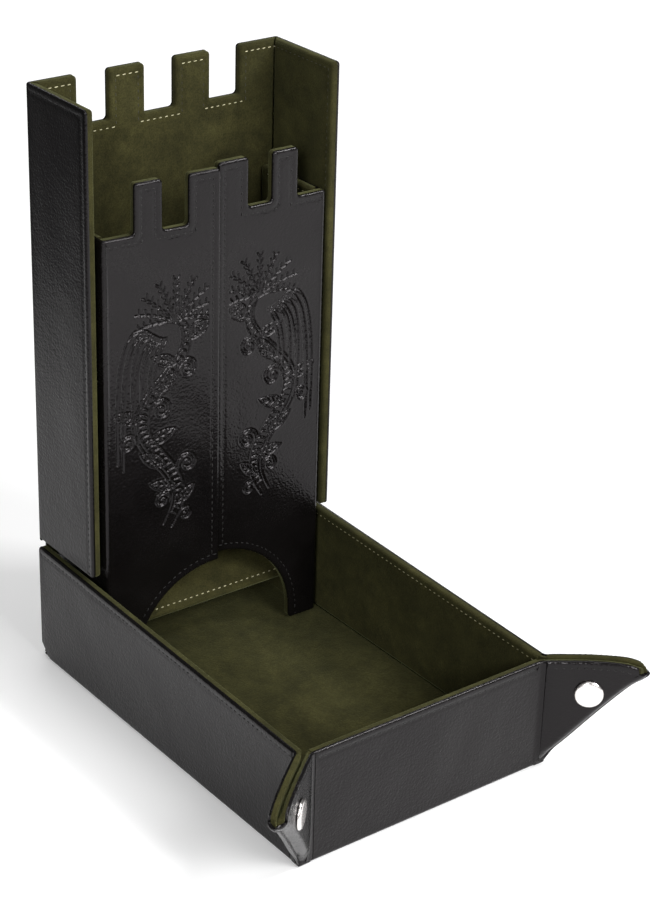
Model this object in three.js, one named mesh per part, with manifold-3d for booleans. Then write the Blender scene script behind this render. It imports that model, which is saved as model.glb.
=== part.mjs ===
// Folding dice tower with a snap-corner dice tray.
// Every panel is a sandwich: a thin leather cover outside, a stiff board in a
// blind pocket, and a padded velvet lining inside. Panels meet at leather
// creases, so each crease is a fold line on the outer leather surface.
//
// Frame: millimetres, +Z up, -Y towards the open front of the tray, +Y towards
// the back of the tower. The origin is the centre of the tray floor's underside.
import * as THREE from "three";
import { mergeVertices } from "three/addons/utils/BufferGeometryUtils.js";
import Module from "manifold-3d";

const wasm = await Module();
wasm.setup();

// ---------------------------------------------------------------- dimensions
const TRAY_W = 127; // outside width of the tray
const FRONT_Y = -97.5; // outer face of the front wall
const WALL_REAR_Y = 95.1; // free rear ends of the side walls
const BACK_Y = 97.5; // outer face of the back panel, and its fold line
const WALL_H = 50.5; // height of the front wall and of the side walls' front ends
const WALL_H_REAR = 54.8; // height of the side walls' rear ends
const COVER_T = 1.2; // leather cover
const PANEL_T = 4.0; // full panel: cover, board and lining
const BOND = 0.1; // glue line between cover and lining
const BOARD_T = 1.5; // stiff board
const BOARD_INSET = 3.2; // board edge to panel edge
const CREASE = 0.6; // half the leather strip left free at a fold line
const EAR_DEG = 40; // the folded gusset stands this far round from the front wall's line
const CORNER_F = 5.6; // gusset crease on the front wall, in from the tray corner
const CORNER_S = 4.7; // gusset crease on the side wall, in from the tray corner
const WALL_CHAMFER = 6; // cut-off lower rear corner of the side walls

const EAR_COVER_T = 1.0; // gusset leather
const EAR_T = 3.0; // full gusset layer
const SNAP_OUT = 15.7; // snap centre, out from the tray corner
const SNAP_Z = 36.5; // snap centre height
const CAP_R = 6.2; // snap cap
const RIVET_R = 1.7; // snap rivet shank
const HOLE_R = 2.15; // rivet hole in the gusset layers

const TOWER_W = 124; // outside width of the back panel and wings
const WING_FRONT_Y = 52.4; // front edge of the wings
const SPINE_HALF = 58.9; // half width of the back panel between the tray's side walls
const WING_Z0 = 57.2; // lower edge of the wings, just above the tray walls
const TOWER_Z = 263.4; // top of the wings and of the back panel merlons
const CRENEL_Z = 241.8; // bottom of the back panel notches
const MERLON_OUT = 22; // outer merlons of the back panel
const MERLON_IN = 17.5; // inner merlons of the back panel
const CRENEL = 15; // notches of the back panel

const DOOR_Y = 51.6; // front face of the door leaves at their hinges
const INNER_HALF = 55.6; // half the outside width of the inner tower
const INNER_T = 3.8; // thickness of the inner side panels
const DOOR_T = 4.4; // thickness of the door leaves
const LEAF_W = 54.4; // width of one leaf
const DOOR_Z0 = 4.9; // lower edge of the leaves
const SHOULDER_Z = 208.5; // shoulders and notches of the leaves
const LEAF_TOP_Z = 230.3; // merlon tops of the leaves
const LEAF_STEPS = [14.6, 27.5, 39.5]; // merlon edges, from the hinge
const ARCH_R = 41; // round-topped exit at x = 0
const ARCH_Z = 9.5; // height of the arch's centre, over short straight jambs
const LEFT_AJAR = 4.7; // left leaf stands open by this, degrees
const RIGHT_AJAR = -1; // right leaf is pushed in by this, degrees
const HINGE_GAP = 1.4; // between a leaf's back and its side panel

const RAMP_PIVOT = [92.7, 48]; // fold line of the ramp: y, z
const RAMP_SLOPE = 40; // degrees
const RAMP_L = 41.4;
const RAMP_T = 3.6;
const RAMP_HALF_W = 50.5;
const BAFFLE_PIVOT = [92.9, 140]; // fold line of the upper baffle: y, z
const BAFFLE_SLOPE = 40;
const BAFFLE_L = 20;

// ----------------------------------------------------------------- materials
const leather = new THREE.MeshStandardMaterial({ color: 0x0d0c0d, roughness: 0.42, metalness: 0 });
const velvet = new THREE.MeshStandardMaterial({ color: 0x3b3d1c, roughness: 0.95, metalness: 0 });
const board = new THREE.MeshStandardMaterial({ color: 0x8d8273, roughness: 0.9, metalness: 0 });
const nickel = new THREE.MeshStandardMaterial({ color: 0xd5d2cb, roughness: 0.22, metalness: 1 });

// ------------------------------------------------------------------- helpers
const rad = THREE.MathUtils.degToRad;

// Moves each edge of a counter-clockwise outline inwards by its own distance.
function inset(poly, d) {
  const n = poly.length;
  const dist = (i) => (Array.isArray(d) ? d[i] : d);
  const line = (i) => {
    const a = poly[i], b = poly[(i + 1) % n];
    const l = Math.hypot(b[0] - a[0], b[1] - a[1]);
    const t = [(b[0] - a[0]) / l, (b[1] - a[1]) / l];
    return { p: [a[0] - t[1] * dist(i), a[1] + t[0] * dist(i)], t };
  };
  return poly.map((_, i) => {
    const A = line((i + n - 1) % n), B = line(i);
    const c = A.t[0] * B.t[1] - A.t[1] * B.t[0];
    if (Math.abs(c) < 1e-6) return B.p;
    const s = ((B.p[0] - A.p[0]) * B.t[1] - (B.p[1] - A.p[1]) * B.t[0]) / c;
    return [A.p[0] + A.t[0] * s, A.p[1] + A.t[1] * s];
  });
}

// A closed solid between two outlines of the same vertex count, with round holes.
function loft(low, high, w0, w1, holes = []) {
  const ring = (r) => {
    const out = [];
    for (let k = 0; k < 20; k++) {
      const a = (-2 * Math.PI * k) / 20;
      out.push([r[0] + r[2] * Math.cos(a), r[1] + r[2] * Math.sin(a)]);
    }
    return out;
  };
  const rings = holes.map(ring);
  const v2 = (p) => new THREE.Vector2(p[0], p[1]);
  const pos = [];
  const put = (p, w) => pos.push(p[0], p[1], w);
  const faces = THREE.ShapeUtils.triangulateShape(low.map(v2), rings.map((r) => r.map(v2)));
  const L = low.concat(...rings), H = high.concat(...rings);
  for (const [a, b, c] of faces) {
    put(L[a], w0); put(L[c], w0); put(L[b], w0);
    put(H[a], w1); put(H[b], w1); put(H[c], w1);
  }
  const sides = (lo, hi) => {
    for (let i = 0; i < lo.length; i++) {
      const j = (i + 1) % lo.length;
      put(lo[i], w0); put(lo[j], w0); put(hi[j], w1);
      put(lo[i], w0); put(hi[j], w1); put(hi[i], w1);
    }
  };
  sides(low, high);
  rings.forEach((r) => sides(r, r));
  return new THREE.BufferGeometry().setAttribute("position", new THREE.Float32BufferAttribute(pos, 3));
}

function solid(geometry) {
  const g = geometry.index ? geometry.toNonIndexed() : geometry.clone();
  const bare = new THREE.BufferGeometry().setAttribute("position", g.getAttribute("position"));
  const m = mergeVertices(bare, 1e-4);
  return new wasm.Manifold(
    new wasm.Mesh({
      numProp: 3,
      vertProperties: new Float32Array(m.attributes.position.array),
      triVerts: new Uint32Array(m.index.array),
    }),
  );
}

function geometryOf(s) {
  const m = s.getMesh(), v = new Float32Array(m.numVert * 3);
  for (let i = 0; i < m.numVert; i++)
    v.set(m.vertProperties.subarray(i * m.numProp, i * m.numProp + 3), i * 3);
  const g = new THREE.BufferGeometry();
  g.setAttribute("position", new THREE.BufferAttribute(v, 3));
  g.setIndex(new THREE.BufferAttribute(new Uint32Array(m.triVerts), 1));
  g.computeVertexNormals();
  return g;
}

function mesh(parent, name, geometry, material) {
  if (!geometry.getAttribute("normal")) geometry.computeVertexNormals();
  const m = new THREE.Mesh(geometry, material);
  m.name = name;
  parent.add(m);
  return m;
}

// A frame at `at` whose local x, y, z run along u, v and u x v.
function frame(parent, at, u, v) {
  const U = new THREE.Vector3(...u), V = new THREE.Vector3(...v);
  const g = new THREE.Group();
  g.position.set(...at);
  g.quaternion.setFromRotationMatrix(new THREE.Matrix4().makeBasis(U, V, U.clone().cross(V)));
  parent.add(g);
  return g;
}

// A sandwich panel in local coordinates: the outline lies on the outer leather
// surface (z = 0) and the lining faces +z. bevel[i] = 1 mitres edge i at 45
// degrees for a fold, 0 leaves it square.
function panel(parent, name, outline, bevel, thick = PANEL_T) {
  const at = (w) => inset(outline, bevel.map((b) => b * w));
  mesh(parent, name + "_cover", loft(at(0), at(COVER_T), 0, COVER_T), leather);
  const w0 = COVER_T + BOND;
  const body = solid(loft(at(w0), at(thick), w0, thick));
  const pocket = inset(at(w0), BOARD_INSET - 0.15);
  const cut = solid(loft(pocket, pocket, w0 - 0.5, w0 + BOARD_T + 0.1));
  mesh(parent, name + "_lining", geometryOf(body.subtract(cut)), velvet);
  const core = inset(at(w0), BOARD_INSET);
  mesh(parent, name + "_board", loft(core, core, w0, w0 + BOARD_T), board);
}

const rect = (u0, v0, u1, v1) => [[u0, v0], [u1, v0], [u1, v1], [u0, v1]];

// --------------------------------------------------------------------- build
const part = new THREE.Group();
const HALF = TRAY_W / 2;

// tray floor: all four edges are folds
panel(
  frame(part, [0, 0, 0], [1, 0, 0], [0, 1, 0]),
  "floor",
  rect(-HALF + CREASE, FRONT_Y + CREASE, HALF - CREASE, BACK_Y - CREASE),
  [1, 1, 1, 1],
);

// side walls: folded at the floor, free at the rear, creased to the gussets in front
const wallFront = FRONT_Y + CORNER_S + 0.3;
const leftWall = frame(part, [-HALF, 0, 0], [0, 1, 0], [0, 0, 1]);
panel(
  leftWall,
  "left_wall",
  [
    [wallFront, CREASE],
    [WALL_REAR_Y - WALL_CHAMFER, CREASE],
    [WALL_REAR_Y, CREASE + WALL_CHAMFER],
    [WALL_REAR_Y, WALL_H_REAR],
    [wallFront, WALL_H],
  ],
  [1, 0, 0, 0, 0],
);
const rightWall = frame(part, [HALF, 0, 0], [0, -1, 0], [0, 0, 1]);
panel(
  rightWall,
  "right_wall",
  [
    [-wallFront, CREASE],
    [-wallFront, WALL_H],
    [-WALL_REAR_Y, WALL_H_REAR],
    [-WALL_REAR_Y, CREASE + WALL_CHAMFER],
    [-WALL_REAR_Y + WALL_CHAMFER, CREASE],
  ],
  [0, 0, 0, 0, 1],
);
const frontWall = frame(part, [0, FRONT_Y, 0], [-1, 0, 0], [0, 0, 1]);
panel(
  frontWall,
  "front_wall",
  rect(-HALF + CORNER_F + 0.3, CREASE, HALF - CORNER_F - 0.3, WALL_H),
  [1, 0, 0, 0],
);

// corner gussets: two triangular layers folded back to back, pointing outwards
const EAR = [
  [0.3, 1.3], [6, 7.0], [12, 13.2], [23.6, 26.4], [35.0, 38.4], [40.2, 42.2],
  [42.7, 44.2], [43.3, 45.6], [42.4, 47.2], [40, 49.0], [35.5, 50.6], [29, 51.3],
  [19, 51.5], [8, 51.0], [0.3, WALL_H],
];
const flip = (poly) => poly.map(([u, v]) => [-u, v]).reverse();
// `side` 1 runs the triangle along +u, -1 along -u; the snap goes on `cap` layers
function gusset(parent, name, side, out) {
  const outline = side > 0 ? EAR : flip(EAR);
  const hole = [[side * out, SNAP_Z, HOLE_R]];
  mesh(parent, name + "_cover", loft(outline, outline, 0, EAR_COVER_T, hole), leather);
  mesh(parent, name + "_lining", loft(outline, outline, EAR_COVER_T + BOND, EAR_T, hole), velvet);
}
// The snap centre sits at the same place on both layers of an ear.
const EC = Math.cos(rad(EAR_DEG)), ES = Math.sin(rad(EAR_DEG));
const snapF = SNAP_OUT + CORNER_F * EC; // from the crease on the front wall
const snapS = SNAP_OUT + CORNER_S * ES; // from the crease on the side wall
const lathe = (pts) => new THREE.LatheGeometry(pts.map(([r, y]) => new THREE.Vector2(r, y)), 32);
// Lathe axis along local z, which points into the ear.
function turned(parent, name, u, pts) {
  const g = lathe(pts);
  g.rotateX(Math.PI / 2);
  g.translate(u, SNAP_Z, 0);
  return mesh(parent, name, solidGeometry(g), nickel);
}
function solidGeometry(g) {
  return geometryOf(solid(g));
}
function capAndSocket(parent, tag, u) {
  // domed cap outside, with its rivet shank through the layer
  turned(parent, tag + "_snap_cap", u, [
    [0, -1.75], [2.2, -1.72], [4.2, -1.55], [5.3, -1.3], [5.9, -0.95], [CAP_R, -0.55],
    [CAP_R - 0.15, -0.1], [RIVET_R, -0.1], [RIVET_R, EAR_T - 0.1], [0, EAR_T - 0.1],
  ]);
  // socket ring on the lining side
  turned(parent, tag + "_snap_socket", u, [
    [3.0, EAR_T + 0.05], [5.2, EAR_T + 0.05], [5.2, EAR_T + 0.42], [4.6, EAR_T + 0.5],
    [3.0, EAR_T + 0.5], [3.0, EAR_T + 0.05],
  ]);
}
function postAndStud(parent, tag, u) {
  turned(parent, tag + "_snap_post", u, [
    [0, -0.75], [3.0, -0.7], [3.7, -0.45], [3.8, -0.1], [RIVET_R, -0.1],
    [RIVET_R, EAR_T - 0.1], [0, EAR_T - 0.1],
  ]);
  turned(parent, tag + "_snap_stud", u, [
    [0, EAR_T + 0.05], [5.0, EAR_T + 0.05], [5.0, EAR_T + 0.3], [2.0, EAR_T + 0.32],
    [1.95, EAR_T + 0.9], [1.6, EAR_T + 1.0], [0, EAR_T + 1.0],
  ]);
}

// left ear: the side layer hangs on the left wall, the front layer on the front wall
const ls = frame(part, [-HALF, FRONT_Y + CORNER_S, 0], [EC, ES, 0], [0, 0, 1]); // outer face to -x +y
gusset(ls, "left_ear_side", -1, snapS);
postAndStud(ls, "left", -snapS);
const lf = frame(part, [-HALF + CORNER_F, FRONT_Y, 0], [-EC, -ES, 0], [0, 0, 1]); // outer face to +x -y
gusset(lf, "left_ear_front", 1, snapF);
capAndSocket(lf, "left", snapF);
// right ear
const rs = frame(part, [HALF, FRONT_Y + CORNER_S, 0], [EC, -ES, 0], [0, 0, 1]);
gusset(rs, "right_ear_side", 1, snapS);
postAndStud(rs, "right", snapS);
const rf = frame(part, [HALF - CORNER_F, FRONT_Y, 0], [-EC, ES, 0], [0, 0, 1]);
gusset(rf, "right_ear_front", -1, snapF);
capAndSocket(rf, "right", -snapF);

// back panel: folded at the floor and at both wings, crenellated on top
const TH = TOWER_W / 2;
const half = TH - CREASE;
const m1 = TH - MERLON_OUT, m2 = m1 - CRENEL, m3 = m2 - MERLON_IN;
const spineTop = WING_Z0 - 1;
const backOutline = [
  [-SPINE_HALF, CREASE], [SPINE_HALF, CREASE], [SPINE_HALF, spineTop], [half, spineTop], [half, TOWER_Z], [m1, TOWER_Z], [m1, CRENEL_Z], [m2, CRENEL_Z],
  [m2, TOWER_Z], [m3, TOWER_Z], [m3, CRENEL_Z], [-m3, CRENEL_Z], [-m3, TOWER_Z], [-m2, TOWER_Z],
  [-m2, CRENEL_Z], [-m1, CRENEL_Z], [-m1, TOWER_Z], [-half, TOWER_Z], [-half, spineTop],
  [-SPINE_HALF, spineTop],
];
panel(
  frame(part, [0, BACK_Y, 0], [1, 0, 0], [0, 0, 1]),
  "back_panel",
  backOutline,
  [1, 0.5, 0, 1, 0, 0, 0, 0, 0, 0, 0, 0, 0, 0, 0, 0, 0, 1, 0, 0.5],
);

// wings: folded at the back panel
panel(
  frame(part, [-TH, 0, 0], [0, 1, 0], [0, 0, 1]),
  "left_wing",
  rect(WING_FRONT_Y, WING_Z0, BACK_Y - CREASE, TOWER_Z),
  [0, 1, 0, 0],
);
panel(
  frame(part, [TH, 0, 0], [0, -1, 0], [0, 0, 1]),
  "right_wing",
  rect(-BACK_Y + CREASE, WING_Z0, -WING_FRONT_Y, TOWER_Z),
  [0, 0, 0, 1],
);

// inner side panels, standing on the tray floor between the back panel and the doors
const sideFront = DOOR_Y + DOOR_T + HINGE_GAP;
const sideRear = BACK_Y - PANEL_T - 0.4;
panel(
  frame(part, [-INNER_HALF, 0, 0], [0, 1, 0], [0, 0, 1]),
  "left_inner_side",
  rect(sideFront, DOOR_Z0, sideRear, SHOULDER_Z),
  [0, 0, 0, 0],
  INNER_T,
);
panel(
  frame(part, [INNER_HALF, 0, 0], [0, -1, 0], [0, 0, 1]),
  "right_inner_side",
  rect(-sideRear, DOOR_Z0, -sideFront, SHOULDER_Z),
  [0, 0, 0, 0],
  INNER_T,
);

// door leaves: hinged at the front edges of the inner side panels
// s runs from the hinge (0) to the free edge (LEAF_W)
function leafOutline() {
  const [a, b, c] = LEAF_STEPS, w = LEAF_W, e = 0.35;
  const pts = [[e, DOOR_Z0]];
  pts.push([INNER_HALF - ARCH_R, DOOR_Z0]);
  const last = Math.acos((INNER_HALF - w) / ARCH_R);
  for (let k = 0; k <= 14; k++) {
    const t = (last * k) / 14;
    pts.push([INNER_HALF - ARCH_R * Math.cos(t), ARCH_Z + ARCH_R * Math.sin(t)]);
  }
  pts.push([w, LEAF_TOP_Z], [c, LEAF_TOP_Z], [c, SHOULDER_Z], [b, SHOULDER_Z]);
  pts.push([b, LEAF_TOP_Z], [a, LEAF_TOP_Z], [a, SHOULDER_Z], [e, SHOULDER_Z]);
  return pts;
}
function leaf(name, x, sign, ajar) {
  const g = new THREE.Group();
  g.position.set(x, DOOR_Y, 0);
  g.rotation.z = rad(ajar);
  part.add(g);
  const f = frame(g, [0, 0, 0], [-1, 0, 0], [0, 0, 1]);
  const outline = sign > 0 ? leafOutline() : flip(leafOutline());
  panel(f, name, outline, outline.map(() => 0), DOOR_T);
}
leaf("left_door", -INNER_HALF, -1, -LEFT_AJAR);
leaf("right_door", INNER_HALF, 1, RIGHT_AJAR);

// exit ramp: folded at the back panel, its lip over the tray floor
const slope = (deg) => [0, Math.cos(rad(deg)), Math.sin(rad(deg))];
panel(
  frame(part, [0, ...RAMP_PIVOT], [1, 0, 0], slope(RAMP_SLOPE)),
  "ramp",
  rect(-RAMP_HALF_W, -RAMP_L, RAMP_HALF_W, -CREASE),
  [0.45, 0, 0, 0],
  RAMP_T,
);
// upper baffle: its mitred rear edge bears on the back panel
{
  const f = frame(part, [0, ...BAFFLE_PIVOT], [1, 0, 0], slope(BAFFLE_SLOPE));
  const g = new THREE.Group();
  g.position.z = -RAMP_T;
  f.add(g);
  const t = Math.tan(rad(BAFFLE_SLOPE));
  panel(
    g,
    "upper_baffle",
    rect(-RAMP_HALF_W, -BAFFLE_L, RAMP_HALF_W, -RAMP_T * t),
    [0, 0, -t, 0],
    RAMP_T,
  );
}

export default part;
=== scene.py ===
# Folding dice tower with tray, leather outside and velvet inside.
# Lengths in this script are millimetres until a mesh is made, as in the CAD source.
import math
import bpy, bmesh
import numpy as np
from mathutils import Matrix, Vector, geometry


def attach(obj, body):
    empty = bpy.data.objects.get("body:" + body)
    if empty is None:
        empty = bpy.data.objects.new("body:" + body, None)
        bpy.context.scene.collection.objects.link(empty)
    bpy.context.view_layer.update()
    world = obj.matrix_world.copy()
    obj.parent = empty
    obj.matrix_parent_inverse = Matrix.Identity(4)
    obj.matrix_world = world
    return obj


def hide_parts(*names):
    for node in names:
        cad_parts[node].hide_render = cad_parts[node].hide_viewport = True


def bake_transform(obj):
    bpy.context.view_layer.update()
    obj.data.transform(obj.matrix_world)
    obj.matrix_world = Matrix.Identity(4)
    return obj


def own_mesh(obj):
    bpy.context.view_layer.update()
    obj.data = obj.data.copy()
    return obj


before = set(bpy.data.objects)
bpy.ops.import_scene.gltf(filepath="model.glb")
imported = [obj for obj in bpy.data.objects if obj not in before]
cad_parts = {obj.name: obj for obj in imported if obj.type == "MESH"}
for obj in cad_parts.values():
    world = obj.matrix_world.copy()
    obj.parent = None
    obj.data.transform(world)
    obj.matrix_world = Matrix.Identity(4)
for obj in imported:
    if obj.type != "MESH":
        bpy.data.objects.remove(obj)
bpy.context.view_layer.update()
scene = bpy.context.scene

# ------------------------------------------------------------------ camera
az, el, roll = math.radians(37.81), math.radians(25.02), math.radians(1.66)
fwd = Vector((math.sin(az) * math.cos(el), math.cos(az) * math.cos(el), -math.sin(el)))
right = Vector((math.cos(az), -math.sin(az), 0))
up = right.cross(fwd)
ix = right * math.cos(roll) + up * math.sin(roll)
iy = -right * math.sin(roll) + up * math.cos(roll)
cam_data = bpy.data.cameras.new("camera")
cam = bpy.data.objects.new("camera", cam_data)
scene.collection.objects.link(cam)
m = Matrix((ix, iy, -fwd)).transposed().to_4x4()
m.translation = Vector((-0.51270, -0.68769, 0.54588))
cam.matrix_world = m
cam_data.sensor_fit = "AUTO"
cam_data.sensor_width = 36
cam_data.lens = 2339.23 / 900 * 36
cam_data.shift_y = -50 / 900
cam_data.clip_start, cam_data.clip_end = 0.05, 20
scene.camera = cam

# --------------------------------------------------------------- materials
def material(name):
    mat = bpy.data.materials.new(name)
    mat.use_nodes = True
    nt = mat.node_tree
    nt.nodes.clear()
    out = nt.nodes.new("ShaderNodeOutputMaterial")
    bsdf = nt.nodes.new("ShaderNodeBsdfPrincipled")
    nt.links.new(bsdf.outputs[0], out.inputs[0])
    coord = nt.nodes.new("ShaderNodeTexCoord")
    return mat, nt, bsdf, coord.outputs["Object"]

def noise(nt, vec, scale, detail=3, rough=0.5, stretch=None):
    if stretch:
        mp = nt.nodes.new("ShaderNodeMapping")
        mp.inputs["Scale"].default_value = stretch
        nt.links.new(vec, mp.inputs["Vector"])
        vec = mp.outputs[0]
    n = nt.nodes.new("ShaderNodeTexNoise")
    n.inputs["Scale"].default_value = scale
    n.inputs["Detail"].default_value = detail
    n.inputs["Roughness"].default_value = rough
    nt.links.new(vec, n.inputs["Vector"])
    return n.outputs[0]

def voronoi(nt, vec, scale, feature="F1", out=0):
    n = nt.nodes.new("ShaderNodeTexVoronoi")
    n.feature = feature
    n.inputs["Scale"].default_value = scale
    nt.links.new(vec, n.inputs["Vector"])
    return n.outputs[out]

def ramp(nt, fac, stops):
    r = nt.nodes.new("ShaderNodeValToRGB")
    e = r.color_ramp.elements
    while len(e) < len(stops):
        e.new(0.5)
    for k, (p, c) in enumerate(stops):
        e[k].position = p
        e[k].color = (*c, 1) if len(c) == 3 else c
    nt.links.new(fac, r.inputs[0])
    return r.outputs[0]

def maths(nt, op, a, b):
    n = nt.nodes.new("ShaderNodeMath")
    n.operation = op
    for i, x in enumerate((a, b)):
        if isinstance(x, (int, float)):
            n.inputs[i].default_value = x
        else:
            nt.links.new(x, n.inputs[i])
    return n.outputs[0]

def mix(nt, fac, a, b, blend="MIX"):
    n = nt.nodes.new("ShaderNodeMix")
    n.data_type = "RGBA"
    n.blend_type = blend
    for i, x in ((0, fac), (6, a), (7, b)):
        if isinstance(x, (int, float)):
            n.inputs[i].default_value = x
        elif isinstance(x, tuple):
            n.inputs[i].default_value = (*x, 1)
        else:
            nt.links.new(x, n.inputs[i])
    return n.outputs[2]

def bump(nt, height, dist, strength=1.0, normal=None):
    b = nt.nodes.new("ShaderNodeBump")
    b.inputs["Strength"].default_value = strength
    b.inputs["Distance"].default_value = dist
    nt.links.new(height, b.inputs["Height"])
    if normal is not None:
        nt.links.new(normal, b.inputs["Normal"])
    return b.outputs[0]

def leather_material(name, rough=0.26, grain=1.0, tone=1.0):
    mat, nt, bsdf, co = material(name)
    cloudy = noise(nt, co, 28, 4, 0.55)
    fine = noise(nt, co, 900, 3, 0.6)
    base = ramp(nt, cloudy, [(0.3, (0.0022 * tone, 0.0019 * tone, 0.0019 * tone)), (0.7, (0.0050 * tone, 0.0044 * tone, 0.0044 * tone))])
    nt.links.new(base, bsdf.inputs["Base Color"])
    r = maths(nt, "ADD", maths(nt, "MULTIPLY", cloudy, 0.12), rough - 0.06 - 0.03)
    r = maths(nt, "ADD", r, maths(nt, "MULTIPLY", fine, 0.06))
    nt.links.new(r, bsdf.inputs["Roughness"])
    bsdf.inputs["Specular IOR Level"].default_value = 0.165
    bsdf.inputs["Specular Tint"].default_value = (1.0, 0.93, 0.97, 1)
    pebble = voronoi(nt, co, 1050, "SMOOTH_F1")
    crease = voronoi(nt, co, 330, "DISTANCE_TO_EDGE")
    crease = maths(nt, "MINIMUM", maths(nt, "MULTIPLY", crease, 6.0), 1.0)
    soft = noise(nt, co, 90, 4, 0.55)
    n = bump(nt, soft, 0.00045, 0.35)
    n = bump(nt, crease, 0.00007, 0.3 * grain, n)
    bsdf.inputs["Coat Weight"].default_value = 0.15
    bsdf.inputs["Coat Roughness"].default_value = 0.13
    bsdf.inputs["Coat IOR"].default_value = 1.5
    n = bump(nt, pebble, 0.00015, 0.62 * grain, n)
    nt.links.new(n, bsdf.inputs["Coat Normal"])
    nt.links.new(n, bsdf.inputs["Normal"])
    return mat

def velvet_material(name):
    mat, nt, bsdf, co = material(name)
    big = noise(nt, co, 34, 5, 0.62)
    mid = noise(nt, co, 160, 4, 0.6)
    nap = noise(nt, co, 1600, 2, 0.7)
    a = ramp(nt, big, [(0.30, (0.021, 0.0195, 0.0066)), (0.55, (0.034, 0.0315, 0.0108)), (0.78, (0.053, 0.049, 0.0175))])
    b = ramp(nt, mid, [(0.3, (0.72, 0.72, 0.72)), (0.7, (1.2, 1.2, 1.15))])
    c = ramp(nt, nap, [(0.3, (0.62, 0.62, 0.60)), (0.7, (1.32, 1.32, 1.30))])
    col = mix(nt, 1.0, mix(nt, 1.0, a, b, "MULTIPLY"), c, "MULTIPLY")
    nt.links.new(col, bsdf.inputs["Base Color"])
    bsdf.inputs["Roughness"].default_value = 0.95
    bsdf.inputs["Specular IOR Level"].default_value = 0.12
    bsdf.inputs["Sheen Weight"].default_value = 0.22
    bsdf.inputs["Sheen Roughness"].default_value = 0.42
    bsdf.inputs["Sheen Tint"].default_value = (0.60, 0.64, 0.30, 1)
    n = bump(nt, mid, 0.0004, 0.5)
    n = bump(nt, nap, 0.00025, 0.8, n)
    nt.links.new(n, bsdf.inputs["Normal"])
    return mat

def thread_material(name, dark, light, rough, spec=0.4):
    mat, nt, bsdf, co = material(name)
    twist = nt.nodes.new("ShaderNodeTexWave")
    twist.inputs["Scale"].default_value = 700
    twist.inputs["Distortion"].default_value = 1.5
    nt.links.new(co, twist.inputs["Vector"])
    nt.links.new(ramp(nt, twist.outputs["Fac"], [(0.2, dark), (0.8, light)]), bsdf.inputs["Base Color"])
    bsdf.inputs["Roughness"].default_value = rough
    bsdf.inputs["Specular IOR Level"].default_value = spec
    nt.links.new(bump(nt, twist.outputs["Fac"], 0.00012, 0.5), bsdf.inputs["Normal"])
    return mat

def metal_material(name):
    mat, nt, bsdf, co = material(name)
    n = noise(nt, co, 220, 3)
    nt.links.new(ramp(nt, n, [(0.3, (0.80, 0.765, 0.745)), (0.7, (0.82, 0.785, 0.765))]), bsdf.inputs["Base Color"])
    bsdf.inputs["Metallic"].default_value = 1
    bsdf.inputs["Roughness"].default_value = 0.24
    return mat

def board_material(name):
    mat, nt, bsdf, co = material(name)
    f = noise(nt, co, 700, 5, 0.7, (1, 1, 0.35))
    nt.links.new(ramp(nt, f, [(0.3, (0.20, 0.16, 0.11)), (0.7, (0.36, 0.30, 0.22))]), bsdf.inputs["Base Color"])
    bsdf.inputs["Roughness"].default_value = 0.9
    nt.links.new(bump(nt, f, 0.0002, 0.6), bsdf.inputs["Normal"])
    return mat

LEATHER = leather_material("leather")
VELVET = velvet_material("velvet")
THREAD = thread_material("black_thread", (0.0030, 0.0028, 0.0028), (0.026, 0.025, 0.024), 0.45, 0.24)
CREAM = thread_material("lining_thread", (0.30, 0.28, 0.15), (0.66, 0.62, 0.42), 0.55)
# painted shade: a darker copy of the cream lining thread, for stitches that lie in shade
PAINTED_SHADE_THREAD = thread_material("painted_shade_thread", (0.006, 0.0058, 0.004), (0.055, 0.052, 0.030), 0.7)
NICKEL = metal_material("nickel")
BOARD = board_material("board")

# ---------------------------------------------------------------- 2-D tools
def inset(poly, d):
    n = len(poly)
    ds = d if isinstance(d, (list, tuple)) else [d] * n
    def line(i):
        a, b = poly[i], poly[(i + 1) % n]
        l = math.hypot(b[0] - a[0], b[1] - a[1])
        t = ((b[0] - a[0]) / l, (b[1] - a[1]) / l)
        return (a[0] - t[1] * ds[i], a[1] + t[0] * ds[i]), t
    out = []
    for i in range(n):
        (pa, ta), (pb, tb) = line(i - 1), line(i)
        c = ta[0] * tb[1] - ta[1] * tb[0]
        if abs(c) < 1e-3:
            out.append(pb)
            continue
        s = ((pb[0] - pa[0]) * tb[1] - (pb[1] - pa[1]) * tb[0]) / c
        out.append((pa[0] + ta[0] * s, pa[1] + ta[1] * s))
    return out

def fillet(poly, attr, r, n=5, keep=()):
    """Rounds every corner between two free edges. attr[i] belongs to edge i."""
    out, oa = [], []
    N = len(poly)
    for i in range(N):
        p, a, b = poly[i], poly[i - 1], poly[(i + 1) % N]
        va = (a[0] - p[0], a[1] - p[1]); vb = (b[0] - p[0], b[1] - p[1])
        la, lb = math.hypot(*va), math.hypot(*vb)
        ua, ub = (va[0] / la, va[1] / la), (vb[0] / lb, vb[1] / lb)
        ang = math.acos(max(-1, min(1, ua[0] * ub[0] + ua[1] * ub[1])))
        if i in keep or attr[i - 1] != attr[i] or math.pi - ang < math.radians(22):
            out.append(p); oa.append(attr[i])
            continue
        t = min(r / math.tan(ang / 2), 0.45 * la, 0.45 * lb)
        rr = t * math.tan(ang / 2)
        bis = (ua[0] + ub[0], ua[1] + ub[1]); lbis = math.hypot(*bis)
        c = (p[0] + bis[0] / lbis * rr / math.sin(ang / 2), p[1] + bis[1] / lbis * rr / math.sin(ang / 2))
        s = (p[0] + ua[0] * t, p[1] + ua[1] * t); e = (p[0] + ub[0] * t, p[1] + ub[1] * t)
        a0 = math.atan2(s[1] - c[1], s[0] - c[0]); a1 = math.atan2(e[1] - c[1], e[0] - c[0])
        d = (a1 - a0 + math.pi) % (2 * math.pi) - math.pi
        for k in range(n + 1):
            out.append((c[0] + rr * math.cos(a0 + d * k / n), c[1] + rr * math.sin(a0 + d * k / n)))
            oa.append(attr[i - 1] if k < n else attr[i])
    return out, oa

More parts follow.
